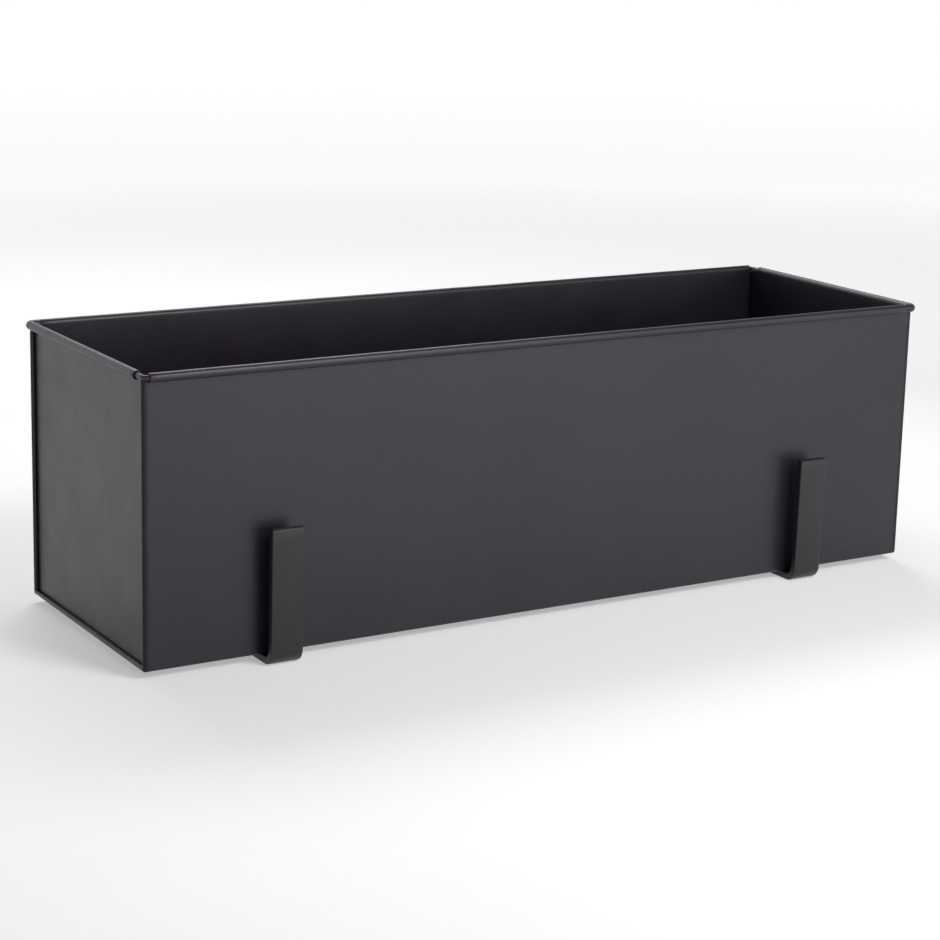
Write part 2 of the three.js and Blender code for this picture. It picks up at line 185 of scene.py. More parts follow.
def cut_away(obj, cutters):
    """Cuts each cutter out of obj and deletes it."""
    for cutter in cutters:
        boolean = obj.modifiers.new("cut", "BOOLEAN")
        boolean.operation = "DIFFERENCE"
        boolean.solver = "EXACT"
        boolean.object = cutter
    settle(obj)
    for cutter in cutters:
        bpy.data.objects.remove(cutter)
    return obj


def arc(centre_u, centre_v, radius, start, end, steps):
    """Points along an arc in a plane, both ends included."""
    angles = np.linspace(start, end, steps + 1)
    return [(centre_u + radius * math.cos(a), centre_v + radius * math.sin(a)) for a in angles]


def spread(start, end, step):
    """Evenly spaced values from start to end, at most step apart."""
    return list(np.linspace(start, end, max(1, math.ceil(abs(end - start) / step)) + 1))


def skin(name, rings, closed=False):
    """A closed mesh over a run of rings of equal length, capped unless it joins its own start."""
    rings = np.asarray(rings, float)
    count, size = rings.shape[:2]
    spans = count if closed else count - 1
    faces = []
    for r in range(spans):
        here, there = r * size, (r + 1) % count * size
        for i in range(size):
            j = (i + 1) % size
            faces.append((here + i, here + j, there + j, there + i))
    if not closed:
        faces.append(tuple(range(size)))
        faces.append(tuple(range((count - 1) * size, count * size)))
    return new_object(name, rings.reshape(-1, 3), faces)


def thick_sheet(name, patches):
    """One closed sheet. A patch is two equal grids of points, the sheet's two faces.

    Patches that share points of their first face are joined there, and a rim closes every
    edge that stays free.
    """
    index, first, second, cells = {}, [], [], []
    for near, far in patches:
        rows, columns = near.shape[:2]
        ids = np.empty((rows, columns), int)
        for r in range(rows):
            for c in range(columns):
                key = tuple(np.rint(near[r, c] / WELD).astype(int))
                if key not in index:
                    index[key] = len(first)
                    first.append(near[r, c])
                    second.append(far[r, c])
                ids[r, c] = index[key]
        for r in range(rows - 1):
            for c in range(columns - 1):
                loop = [ids[r, c], ids[r, c + 1], ids[r + 1, c + 1], ids[r + 1, c]]
                cell = [int(v) for k, v in enumerate(loop) if v != loop[k - 1]]
                if len(cell) > 2:
                    cells.append(cell)
    count = len(first)
    uses = {}
    for cell in cells:
        for a, b in zip(cell, cell[1:] + cell[:1]):
            uses.setdefault(frozenset((a, b)), []).append((a, b))
    faces = [tuple(cell) for cell in cells]
    faces += [tuple(v + count for v in reversed(cell)) for cell in cells]
    faces += [(b, a, a + count, b + count) for (a, b), *more in uses.values() if not more]
    return new_object(name, first + second, faces)


# ---- the box ----------------------------------------------------------------------------

WALL_ROWS = 18
BOTTOM_COLUMNS = 8
COLUMN_STEP = 7 * MM
BEND_STEPS = 8
FOLD_STEPS = 12
ROLL_STEPS = 44
CORNER_STEPS = 14
RIM_EASE = 0.16 * MM             # on the sheet's cut edges
WALL_BAND = 2 * SHEET            # points this near a long wall's outer face are the wall's
ROLL_SHRINK = 0.016              # of the roll's radius, on average
# How that varies along the roll: share of it, wavelength / 2 pi in metres, phase.
ROLL_WAVES = [(0.6, 0.0093, 1), (0.4, 0.0151, 0)]
# The unevenness of a flat sheet: height in mm, wavelengths / 2 pi in metres, share of the phase.
SWELL = (0.22, 0.083, 0.061, 1.3)
SLANTS = [(0.16, 0.047, -0.071, 2.1), (0.07, 0.021, 0.034, 0.7)]
WALL_PHASE = 0.4
PANEL_PHASE = {"left": 2.6, "right": 0.9}
WALL_STILL, WALL_REACH = 4 * MM, 40 * MM     # flat beside an edge, then rising to full
PANEL_STILL, PANEL_REACH = 6 * MM, 34 * MM
DRAIN_STEPS = 48
WIRE_STEPS = 24


def placed(x, y, z):
    """A point of the box, drawn about its own middle and underside, in the row frame."""
    return (x, y + middle_y, z + ground_z)


def u_path(inset, front_top=cut_edge, back_top=cut_edge):
    """Front wall, bottom and back wall in (y, z), `inset` inside the box's outer face."""
    side = half_depth - inset
    radius = min(max(BOTTOM_BEND - inset, SHARP_BEND), side)
    low = inset + radius
    flat = side - radius

    def down(top):
        shares = np.linspace(0, 1, WALL_ROWS + 1)[:-1]
        wall = [(side, top + (low - top) * t) for t in shares]
        return wall + arc(flat, low, radius, 0, -math.pi / 2, BEND_STEPS)

    front = [(-y, z) for y, z in down(front_top)]
    across = np.linspace(-flat, flat, BOTTOM_COLUMNS + 1)[1:-1]
    return front + [(y, inset) for y in across] + down(back_top)[::-1]


def roll_section(foot):
    """The rolled edge in (outward, up): the stem's points, then the curl, on both faces."""
    angles = np.linspace(math.pi, math.pi - CURL_ANGLE, ROLL_STEPS + 1)
    near = [(-roll_inner, z) for z in foot]
    far = [(-roll_outer, z) for z in foot]
    near += [(roll_inner * math.cos(a), roll_z + roll_inner * math.sin(a)) for a in angles]
    far += [(roll_outer * math.cos(a), roll_z + roll_outer * math.sin(a)) for a in angles]
    return near, far


def uneven(along, out, z):
    """A curl's point where the roll has shrunk a little, as hand-rolled edges do."""
    waves = (share * math.sin(along / length + phase) for share, length, phase in ROLL_WAVES)
    size = 1 - ROLL_SHRINK * sum(waves, 1)
    return (out * size if out > 0 else out, roll_z + (z - roll_z) * size if z > roll_z else z)


def fade(distance, reach):
    """0 up to a distance of 0, rising smoothly to 1 at `reach`."""
    t = min(max(distance / reach, 0), 1)
    return t * t * (3 - 2 * t)


def ripple(u, v, phase):
    """The slight unevenness of a flat sheet, in metres."""
    height, along, up, share = SWELL
    total = height * math.sin(u / along + share * phase) * math.sin(v / up + phase)
    for height, along, up, share in SLANTS:
        total += height * math.sin(u / along + v / up + share * phase)
    return total * MM


def wall_ripple(x, y, z):
    """How far a long wall's point lies out of its plane, along Y."""
    edge = min(half_length - abs(x), z, cut_edge - z)
    side = math.copysign(1, y)
    if abs(y) <= half_depth - WALL_BAND:
        return 0
    return side * ripple(x, z, WALL_PHASE + side) * fade(edge - WALL_STILL, WALL_REACH)


def trough_columns():
    """The sheet's stations along the box: the place and inset of both faces."""
    centre = half_length - fold_radius
    inside = fold_radius - SHEET
    notch = half_length - NOTCH_LONG
    bare = half_length - BARE_LONG
    wrap = half_length - WRAP_LENGTH
    stations = sorted({centre, bare, notch + RIM_JOINT, notch, wrap})
    walls = [-x for x in reversed(stations)] + spread(-stations[0], stations[0], COLUMN_STEP)[1:-1]
    walls += stations
    flat = [((x, 0), (x, SHEET)) for x in walls]
    folded = list(zip(
        arc(centre, fold_radius, fold_radius, -math.pi / 2, math.pi / 2, FOLD_STEPS),
        arc(centre, fold_radius, inside, -math.pi / 2, math.pi / 2, FOLD_STEPS),
    ))[1:]
    lip = end_face + FOLD_CLEAR
    folded.append(((lip, seam_inner), (lip, seam_inner - SHEET)))
    mirrored = [((-a[0], a[1]), (-b[0], b[1])) for a, b in reversed(folded)]
    return mirrored + flat + folded, walls


def cut_edges(x):
    """Where the front and back walls end: higher beside and under a notched corner's bare wire."""
    reach = half_length - abs(x)
    beside = BARE_LONG - WELD < reach < NOTCH_LONG - WELD
    bare = beside_edge if beside else notch_edge if reach < BARE_LONG else cut_edge
    return (bare, cut_edge) if x < 0 else (cut_edge, bare)


def trough_face(stations):
    """One face of the folded sheet as a grid, up and down by along the box."""
    columns = [[(x, y, z) for y, z in u_path(inset, *cut_edges(x))] for x, inset in stations]
    grid = np.array(columns).transpose(1, 0, 2)
    for point in grid.reshape(-1, 3):
        point[1] += wall_ripple(*point)
    return grid


def long_roll(side, columns):
    """The rolled edge of the front (side -1) or back wall, over the given stations."""
    near, far = roll_section([cut_edge, roll_z - roll_outer])

    def grid(section):
        rows = [[(x, *uneven(x + side, *point)) for x in columns] for point in section]
        return np.array([[(x, side * (roll_y + out), z) for x, out, z in row] for row in rows])

    return grid(near), grid(far)


def to_row_frame(patches, turn=1):
    """Moves patches drawn about the box's middle into place, turned half round if turn is -1."""
    out = []
    for patch in patches:
        moved = []
        for grid in patch:
            grid = grid * np.array([turn, turn, 1.0])
            moved.append(grid + np.array(placed(0, 0, 0)))
        out.append(tuple(moved))
    return out


def make_trough():
    stations, walls = trough_columns()
    near = trough_face([a for a, _ in stations])
    far = trough_face([b for _, b in stations])
    notched = half_length - NOTCH_LONG
    wrapped = half_length - WRAP_LENGTH

    def between(low, high):
        return [x for x in walls if low - WELD < x < high + WELD]

    patches = [
        (near, far),
        long_roll(-1, between(-notched, wrapped)),
        long_roll(1, between(-wrapped, notched)),
    ]
    trough = thick_sheet("folded_trough", to_row_frame(patches))
    ease_edges(trough, RIM_EASE)
    holes = []
    for i in range(DRAIN_COUNT):
        x = (i - (DRAIN_COUNT - 1) / 2) * DRAIN_PITCH
        rings = [
            [placed(x + u, v, z)
             for u, v in arc(0, 0, DRAIN_RADIUS, 0, 2 * math.pi, DRAIN_STEPS)[:-1]]
            for z in (-SHEET, 2 * SHEET)
        ]
        holes.append(skin(f"drain_cutter_{i}", rings))
    return shade(cut_away(trough, holes))


# Rings of an end's plate, in millimetres inside the box's outer face.
PANEL_INSETS = [5.5, 9, 14, 22, 32, 44, 58, 74]


def panel_ripple(y, z, phase):
    """How far an end plate's point lies out of its plane, along X."""
    edge = min(half_depth - abs(y), z, cut_edge - z)
    return ripple(y, z, phase) * fade(edge - PANEL_STILL, PANEL_REACH)


def make_end_panel(name, turn, phase):
    """Flange, bend and plate in rings from the outside in, with the roll on its top edge."""
    bend_x = end_inner + END_BEND
    bend_inset = flange_outer + END_BEND
    inside = END_BEND - SHEET
    flange_end = half_length - fold_radius + FOLD_CLEAR
    inner = [(flange_end, flange_outer)]
    inner += arc(bend_x, bend_inset, END_BEND, -math.pi / 2, -math.pi, BEND_STEPS)
    outer = [(flange_end, flange_inner)]
    outer += arc(bend_x, bend_inset, inside, -math.pi / 2, -math.pi, BEND_STEPS)
    neck_inset = flange_inner + END_BEND
    insets = sorted({neck_inset, NOTCH_END, *(i * MM for i in PANEL_INSETS), half_depth})
    inner += [(end_inner, i) for i in insets]
    outer += [(end_face, i) for i in insets]

    # The flange and the bend's first half end below the bare wire. The rest of the bend has the
    # neck on it, which rises beside the wire.
    raised = 1 + BEND_STEPS // 2
    bend_end = 2 + BEND_STEPS

    def plate(stations):
        tops = [notch_edge if k < raised else cut_edge for k in range(len(stations))]
        grid = np.array([[(x, y, z) for y, z in u_path(i, back_top=top)]
                         for (x, i), top in zip(stations, tops)])
        for row in grid[bend_end:]:
            for point in row:
                point[0] += panel_ripple(point[1], point[2], phase)
        return grid

    # The top edge's stations, from the notched corner to the one that the roll runs round.
    notch = half_depth - NOTCH_END
    neck_reach = half_depth - neck_inset
    edge = sorted({s * (half_depth - i) for i in insets for s in (-1, 1)}, reverse=True)
    rolled_edge = [y for y in edge if y < notch + WELD]
    bare_edge = [y for y in edge if y > notch - WELD]
    stem = [cut_edge + RIM_JOINT, roll_z - roll_outer]
    neck = [cut_edge, *stem, roll_z]

    def roll(section, places):
        rows = [[(*place, *uneven(place[1] + phase, *point)) for place in places]
                for point in section]
        return np.array([[(x + ox * out, y + oy * out, z) for x, y, ox, oy, out, z in row]
                         for row in rows])

    def neck_face(stations, x):
        places = [(u, half_depth - i) for u, i in stations[raised:bend_end]]
        places += [(x, y) for y in bare_edge]
        return np.array([[(u, y, z) for u, y in places] for z in neck])

    straight = [(roll_x, y, 1, 0) for y in rolled_edge]
    centre_x, centre_y = roll_x - WIRE_CORNER, -(roll_y - WIRE_CORNER)
    turning = [(roll_x, -neck_reach, 1, 0)]
    for a in np.linspace(0, -math.pi / 2, CORNER_STEPS + 1):
        ox, oy = math.cos(a), math.sin(a)
        turning.append((centre_x + WIRE_CORNER * ox, centre_y + WIRE_CORNER * oy, ox, oy))
    turning.append((half_length - WRAP_LENGTH + RIM_JOINT, -roll_y, 0, -1))

    necked = roll_section([cut_edge, *stem])
    wrapped = roll_section(stem)
    patches = [
        (plate(outer), plate(inner)),
        (neck_face(outer, end_face), neck_face(inner, end_inner)),
        tuple(roll(section, straight) for section in necked),
        tuple(roll(section, turning) for section in wrapped),
    ]
    panel = thick_sheet(name, to_row_frame(patches, turn))
    return shade(ease_edges(panel, RIM_EASE))


def make_wire():
    """The wire's loop, in rings round its four corners."""
    section = arc(0, 0, wire_radius, 0, 2 * math.pi, WIRE_STEPS)[:-1]
    rings = []
    for quarter, (sx, sy) in enumerate([(1, 1), (-1, 1), (-1, -1), (1, -1)]):
        for a in np.linspace(0, math.pi / 2, CORNER_STEPS + 1) + quarter * math.pi / 2:
            x, y = sx * (roll_x - WIRE_CORNER), sy * (roll_y - WIRE_CORNER)
            ox, oy = math.cos(a), math.sin(a)
            rings.append([
                placed(x + (WIRE_CORNER + u) * ox, y + (WIRE_CORNER + u) * oy, roll_z + v)
                for u, v in section
            ])
    return shade(skin("wire_loop", rings, closed=True))


# ---- the brackets -----------------------------------------------------------------------

ARM_TOP = 88.5 * MM              # the cradle's front arm
LIP_END = 114 * MM               # the hook's free end
EDGE_STEPS = 4
BAR_BEND_STEPS = 14
BAR_STEP = 8 * MM
SLOT_STEPS = 16


def bar_stations(line, radius):
    """Points and normals along a polyline in (y, z) whose corners are arcs of one radius."""
    line = [Vector(p) for p in line]
    stations = []
    for i, point in enumerate(line):
        if i in (0, len(line) - 1):
            along = (line[1] - point if i == 0 else point - line[i - 1]).normalized()
            stations.append((point, Vector((-along.y, along.x))))
            continue
        before = (point - line[i - 1]).normalized()
        after = (line[i + 1] - point).normalized()
        turn = math.atan2(before.x * after.y - before.y * after.x, before.dot(after))
        side = math.copysign(1, turn)
        start = point - before * radius * math.tan(abs(turn) / 2)
        normal = Vector((-before.y, before.x))
        centre = start + normal * side * radius
        for k in range(BAR_BEND_STEPS + 1):
            spun = Matrix.Rotation(turn * k / BAR_BEND_STEPS, 2) @ normal
            stations.append((centre - spun * side * radius, spun))
    dense = [stations[0]]
    for (p, n), (q, m) in zip(stations, stations[1:]):
        pieces = max(1, round((q - p).length / BAR_STEP))
        dense += [(p.lerp(q, k / pieces), n.lerp(m, k / pieces)) for k in range(1, pieces + 1)]
    return dense


def rounded_rectangle(width, thickness, edge):
    """A bar's section in (across, through), its corners rounded."""
    points = []
    for quarter, (su, sv) in enumerate([(1, 1), (-1, 1), (-1, -1), (1, -1)]):
        start = quarter * math.pi / 2
        points += arc(su * (width / 2 - edge), sv * (thickness / 2 - edge), edge,
                      start, start + math.pi / 2, EDGE_STEPS)
    return points


def bent_bar(name, x, line, width, thickness, inner_radius):
    """A flat bar bent along a line, all its edges eased."""
    stations = bar_stations(line, inner_radius + thickness / 2)
    section = np.array(rounded_rectangle(width, thickness, BAR_EDGE))

    def ring(point, normal, shrink=0.0):
        scale = np.array([1 - 2 * shrink / width, 1 - 2 * shrink / thickness])
        return [(x + u, point.x + normal.x * v, point.y + normal.y * v)
                for u, v in section * scale]

    def end_rings(point, normal, along):
        rings = []
        for a in np.linspace(0, math.pi / 2, EDGE_STEPS + 1)[:-1]:
            back = BAR_EDGE * (1 - math.cos(a))
            rings.append(ring(point + along * (BAR_EDGE * math.sin(a) - BAR_EDGE), normal, back))
        return rings

    (p0, n0), (p1, n1) = stations[0], stations[-1]
    out0 = Vector((-n0.y, n0.x))
    out1 = Vector((n1.y, -n1.x))
    start = end_rings(p0, n0, out0) + [ring(p0, n0, BAR_EDGE)]
    end = end_rings(p1, n1, out1) + [ring(p1, n1, BAR_EDGE)]
    middle = [ring(p, n) for p, n in stations[1:-1]]
    return skin(name, list(reversed(start)) + middle + end)


def block(name, low, high):
    (x0, y0, z0), (x1, y1, z1) = low, high
    return skin(name, [[(x, y0, z0), (x, y1, z0), (x, y1, z1), (x, y0, z1)] for x in (x0, x1)])


def bolt_height(side, level):
    low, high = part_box(f"{side}_{level}_bolt")
    return (low.z + high.z) / 2


def make_cradle(side):
    """Front arm, foot and back riser, with two square holes for the bolts' necks."""
    low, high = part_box(f"{side}_cradle")
    half = BAR_THICKNESS / 2
    x = (low.x + high.x) / 2
    riser = high.y - half
    reach = low.y + half
    foot_front = reach + (ARM_TOP - half) * math.tan(ARM_FLARE)
    line = [(reach, ARM_TOP), (foot_front, half), (riser, half), (riser, high.z)]
    bar = bent_bar(f"{side}_cradle_bar", x, line, high.x - low.x, BAR_THICKNESS, BAR_BEND)
    holes = []
    for level in ("lower", "upper"):
        z = bolt_height(side, level)
        reach_out = SHANK_RADIUS + HOLE_CLEAR
        holes.append(block(
            f"{side}_{level}_square_cutter",
            (x - reach_out, high.y - 2 * BAR_THICKNESS, z - reach_out),
            (x + reach_out, high.y + BAR_THICKNESS, z + reach_out),
        ))
    return shade(cut_away(bar, holes))


def make_hook(side):
    """Slotted leg, the part over the rail, and the lip behind it."""
    low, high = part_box(f"{side}_rail_hook")
    half = HOOK_THICKNESS / 2
    x = (low.x + high.x) / 2
    leg = low.y + half
    lip = high.y - half
    top = high.z - half
    line = [(leg, low.z), (leg, top), (lip, top), (lip, LIP_END)]
    bar = bent_bar(f"{side}_hook_bar", x, line, high.x - low.x, HOOK_THICKNESS, HOOK_BEND)
    slots = []
    for level in ("lower", "upper"):
        z = bolt_height(side, level)
        radius = SHANK_RADIUS + HOLE_CLEAR
        outline = arc(0, SLOT_TRAVEL, radius, 0, math.pi, SLOT_STEPS)
        outline += arc(0, -SLOT_TRAVEL, radius, math.pi, 2 * math.pi, SLOT_STEPS)
        rings = [[(x + u, y, z + v) for u, v in outline]
                 for y in (low.y - half, low.y + 3 * half)]
        slots.append(skin(f"{side}_{level}_slot_cutter", rings))
    return shade(cut_away(bar, slots))


# ---- the fasteners ----------------------------------------------------------------------

TURN_SIDES = 48
HEAD_STEPS = 14
HEAD_FLAT = 0.4 * MM             # radius of the flat at the head's top
NECK_CORNER = 1.32               # reach of the square neck's corners, in shank radii
NECK_TAPER = 0.4 * MM            # from the neck to the shank
THREAD_STEPS = 8                 # rings to a pitch
THREAD_CREST = 1.15              # a ridge's height before it is cut off flat at 1
THREAD_SLOPE = 2.5
THREAD_SMOOTH = 30 * DEGREE
WASHER_EDGE = 0.25 * MM
WING_STEPS = 10
TIP_STEPS = 12


def thread(y, angle, start, end):
    """The shank's radius at a place on its helical thread, which fades in and out."""
    phase = (y / THREAD_PITCH - angle / (2 * math.pi)) % 1
    ridge = min(1, max(0, THREAD_CREST - THREAD_SLOPE * abs(phase - 0.5)))
    fading = fade(y - start, THREAD_PITCH) * fade(end - y, THREAD_PITCH)
    return SHANK_RADIUS - THREAD_DEPTH * (1 - ridge) * fading


def make_bolt(side, level):
    """Domed head, square neck and threaded shank, in rings along +Y."""
    low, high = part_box(f"{side}_{level}_bolt")
    x, z = (low.x + high.x) / 2, (low.z + high.z) / 2
    seat = low.y + HEAD_HEIGHT
    head = (high.x - low.x) / 2
    length = high.y - seat
    angles = np.linspace(0, 2 * math.pi, TURN_SIDES, endpoint=False)

    def ring(y, radius):
        return [(x + radius(a) * math.cos(a), seat + y, z + radius(a) * math.sin(a))
                for a in angles]

    def square(a):
        reach = SHANK_RADIUS / max(abs(math.cos(a)), abs(math.sin(a)))
        return min(reach, NECK_CORNER * SHANK_RADIUS)

    rings = [ring(-HEAD_HEIGHT, lambda a: HEAD_FLAT)]
    for t in np.linspace(-math.pi / 2, 0, HEAD_STEPS + 1)[2:]:
        radius = head * math.cos(t)
        rings.append(ring(HEAD_HEIGHT * math.sin(t), lambda a, r=radius: r))
    rings.append(ring(0, square))
    rings.append(ring(NECK_LENGTH - NECK_TAPER, square))
    end = length - SHANK_CHAMFER
    for y in spread(NECK_LENGTH, end, THREAD_PITCH / THREAD_STEPS):
        rings.append(ring(y, lambda a, y=y: thread(y, a, NECK_LENGTH, end)))
    rings.append(ring(length, lambda a: SHANK_RADIUS - SHANK_CHAMFER))
    return shade(skin(f"{side}_{level}_carriage_bolt", rings), THREAD_SMOOTH)


def turned_ring(name, profile, place):
    """A ring turned about +Y from a closed profile in (radius, y)."""
    rings = []
    for a in np.linspace(0, 2 * math.pi, TURN_SIDES, endpoint=False):
        rings.append([(place[0] + r * math.cos(a), place[1] + y, place[2] + r * math.sin(a))
                      for r, y in profile])
    return skin(name, rings, closed=True)


def make_washer(side, level):
    low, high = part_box(f"{side}_{level}_washer")
    x, z = (low.x + high.x) / 2, (low.z + high.z) / 2
    outer = (high.x - low.x) / 2
    thickness = high.y - low.y
    bore = SHANK_RADIUS + HOLE_CLEAR
    edge = WASHER_EDGE
    profile = [(bore, 0), (outer - edge, 0)]
    profile += arc(outer - edge, edge, edge, -math.pi / 2, 0, EDGE_STEPS)[1:]
    profile += arc(outer - edge, thickness - edge, edge, 0, math.pi / 2, EDGE_STEPS)
    profile += [(bore + edge, thickness), (bore, thickness - edge)]
    washer = turned_ring(f"{side}_{level}_flat_washer", profile, (x, low.y, z))
    return shade(washer)


def wing_outline():
    """One wing in (outward, along the bolt)."""
    root = (NUT_BORE + NUT_TOP) / 2
    low = WING_SETBACK
    high = NUT_HEIGHT - WING_SETBACK
    shoulder = WING_HEIGHT - WING_ROUND

    def curve(a, b, c):
        a, b, c = Vector(a), Vector(b), Vector(c)
        return [tuple(a * (1 - t) ** 2 + b * 2 * t * (1 - t) + c * t * t)
                for t in np.linspace(0, 1, WING_STEPS + 1)]

    points = [(root, low)]
    points += curve((NUT_HUB, low), (WING_TIP, low), (WING_TIP, shoulder))
    points += arc(WING_TIP - WING_ROUND, shoulder, WING_ROUND, 0, math.pi, TIP_STEPS)[1:]
    inner = WING_TIP - 2 * WING_ROUND
    points += curve((inner, shoulder), (inner, high), (root, high))[1:]
    return points


CAST_VOXEL = 0.28 * MM
CAST_SOFTEN = 0.5                # how far a smoothing pass moves a point towards its neighbours
CAST_PASSES = 7
CAST_SMOOTH = 60 * DEGREE


def make_wing_nut(side, level):
    """A cast nut: hub and wings grown together, with soft fillets."""
    low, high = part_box(f"{side}_{level}_wing_nut")
    place = ((low.x + high.x) / 2, low.y, (low.z + high.z) / 2)
    name = f"{side}_{level}_winged_nut"
    hub_profile = [(NUT_BORE, 0), (NUT_HUB, 0), (NUT_HUB, NUT_RIM),
                   (NUT_TOP, NUT_HEIGHT), (NUT_BORE, NUT_HEIGHT)]
    parts = [turned_ring(name, hub_profile, (0, 0, 0))]
    for sign in (-1, 1):
        rings = [[(sign * u, v, z) for u, v in wing_outline()]
                 for z in (-WING_THICKNESS / 2, WING_THICKNESS / 2)]
        parts.append(skin("wing", rings))
    work = bmesh.new()
    for part in parts:
        work.from_mesh(part.data)
    work.to_mesh(parts[0].data)
    work.free()
    for part in parts[1:]:
        bpy.data.objects.remove(part)
    nut = parts[0]
    remesh = nut.modifiers.new("cast", "REMESH")
    remesh.mode = "VOXEL"
    remesh.voxel_size = CAST_VOXEL
    smooth = nut.modifiers.new("soften", "SMOOTH")
    smooth.factor = CAST_SOFTEN
    smooth.iterations = CAST_PASSES
    settle(nut)
    turn = Matrix.Rotation(NUT_TURN[level], 4, "Y")
    nut.data.transform(Matrix.Translation(place) @ turn)
    return shade(nut, CAST_SMOOTH)


# ---- materials --------------------------------------------------------------------------


class Nodes:
    """A short way to write a material's nodes."""

    def __init__(self, name):
        self.material = bpy.data.materials.new(name)
        self.material.use_nodes = True
        self.tree = self.material.node_tree
        self.shader = self.tree.nodes["Principled BSDF"]
        self.place = self.add("ShaderNodeTexCoord").outputs["Object"]

    def add(self, kind, **settings):
        node = self.tree.nodes.new(kind)
        for key, value in settings.items():
            setattr(node, key, value)
        return node

    def link(self, source, target):
        self.tree.links.new(source, target)

    def noise(self, scale, detail=2.0, roughness=0.5):
        """Noise whose features are about 1/scale metres across."""
        node = self.add("ShaderNodeTexNoise")
        node.inputs["Scale"].default_value = scale
        node.inputs["Detail"].default_value = detail
        node.inputs["Roughness"].default_value = roughness
        self.link(self.place, node.inputs["Vector"])
        return node.outputs["Fac"]

    def band(self, value, low, high, out_low=0.0, out_high=1.0):
        """Maps low..high of a value to out_low..out_high, clamped."""
        node = self.add("ShaderNodeMapRange")
        node.inputs["From Min"].default_value = low
        node.inputs["From Max"].default_value = high
        node.inputs["To Min"].default_value = out_low
        node.inputs["To Max"].default_value = out_high
        self.link(value, node.inputs["Value"])
        return node.outputs["Result"]

    def colours(self, factor, first, second):
        node = self.add("ShaderNodeMix", data_type="RGBA")
        node.inputs[6].default_value = (*first, 1)
        node.inputs[7].default_value = (*second, 1)
        self.link(factor, node.inputs[0])
        return node.outputs[2]

    def over(self, factor, below, colour):
        """Lays a plain colour over another where factor is high."""
        node = self.add("ShaderNodeMix", data_type="RGBA")
        node.inputs[7].default_value = (*colour, 1)
        self.link(below, node.inputs[6])
        self.link(factor, node.inputs[0])
        return node.outputs[2]

    def maths(self, operation, a, b):
        node = self.add("ShaderNodeMath", operation=operation)
        for socket, value in zip(node.inputs, (a, b)):
            if isinstance(value, (int, float)):
                socket.default_value = value
            else:
                self.link(value, socket)
        return node.outputs["Value"]

    def bump(self, height, distance, normal=None):
        node = self.add("ShaderNodeBump")
        node.inputs["Distance"].default_value = distance
        node.inputs["Strength"].default_value = 1.0
        self.link(height, node.inputs["Height"])
        if normal:
            self.link(normal, node.inputs["Normal"])
        return node.outputs["Normal"]


# How many of a noise's features go to a metre.
CLOUDS, PATCHES, SEAM_WANDER = 9, 38, 35
PEEL, GRIT, GRAINS = 620, 2400, 2600
ZINC_FILM, ZINC_STAIN, ZINC_GRAIN = 160, 420, 1800

# Stretches of a noise's value: most of it, its middle, and peaks of two breadths.
MOST, MIDDLE, PEAKS, STAINS = (0.3, 0.7), (0.35, 0.65), (0.66, 0.78), (0.62, 0.74)

COAT_IOR = 1.5
PEEL_HEIGHT = 0.06 * MM
GRIT_HEIGHT = 0.02 * MM
SPECK_SHARE = 0.55               # how far a speck's colour covers the coat's
COAT_SPECULAR = 0.5

# Painted shade along the box's four upright folded edges: the coat is darker, duller and less
# glossy there, standing in for the shade at the fold.
SEAM_START = 4.4 * MM            # from the box's end to where the painted seam shade sets in
SEAM_FULL = 1.6 * MM             # from there to where it is full
SEAM_SHIFT = 0.5 * MM            # how far these wander, either way
SEAM_DEPTH = (3 * MM, 2 * MM)    # it fades in between these, inside a long wall's outer face
# The painted shade's colour and how far it covers the coat's, then the duller, less glossy finish
# under it.
SEAM_SHADE_COLOUR = (0.006, 0.006, 0.006)
SEAM_SHADE_SHARE = 0.5                 # how far that colour covers the coat's
SEAM_ROUGHER = 0.15
SEAM_SHADE_SPECULAR = 0.27

# Dark and light of the clouds, then the specks.
BOX_COLOURS = ((0.0155, 0.0105, 0.0205), (0.020, 0.0145, 0.0255), (0.034, 0.031, 0.038))
BAR_COLOURS = ((0.014, 0.0105, 0.0145), (0.017, 0.0135, 0.018), (0.03, 0.028, 0.031))
BOX_ROUGHNESS = (0.34, 0.42)
BAR_ROUGHNESS = (0.36, 0.44)

ZINC_DARK = (0.47, 0.48, 0.49)
ZINC_LIGHT = (0.62, 0.63, 0.62)
ZINC_YELLOWED = (0.50, 0.47, 0.40)
ZINC_ROUGHNESS = (0.24, 0.42)
STAIN_SHARE = 0.5
GRAIN_HEIGHT = 0.015 * MM


# Where the painted shade lies along the folded seams.
def painted_seam_shade(n):
    """The mask of the painted seam shade: 1 on the box's four upright folded edges, fading out on
    the long walls beside them.
    """
    split = n.add("ShaderNodeSeparateXYZ")
    n.link(n.place, split.inputs[0])
    along = n.maths("ABSOLUTE", split.outputs["X"], 0)
    across = n.maths("ABSOLUTE", n.maths("SUBTRACT", split.outputs["Y"], middle_y), 0)
    wander = n.band(n.noise(SEAM_WANDER), *MOST, -SEAM_SHIFT, SEAM_SHIFT)
    along = n.maths("ADD", along, wander)
    beside = n.band(along, half_length - SEAM_START, half_length - SEAM_FULL)
    on_wall = n.band(across, *(half_depth - depth for depth in SEAM_DEPTH))
    return n.maths("MULTIPLY", beside, on_wall)


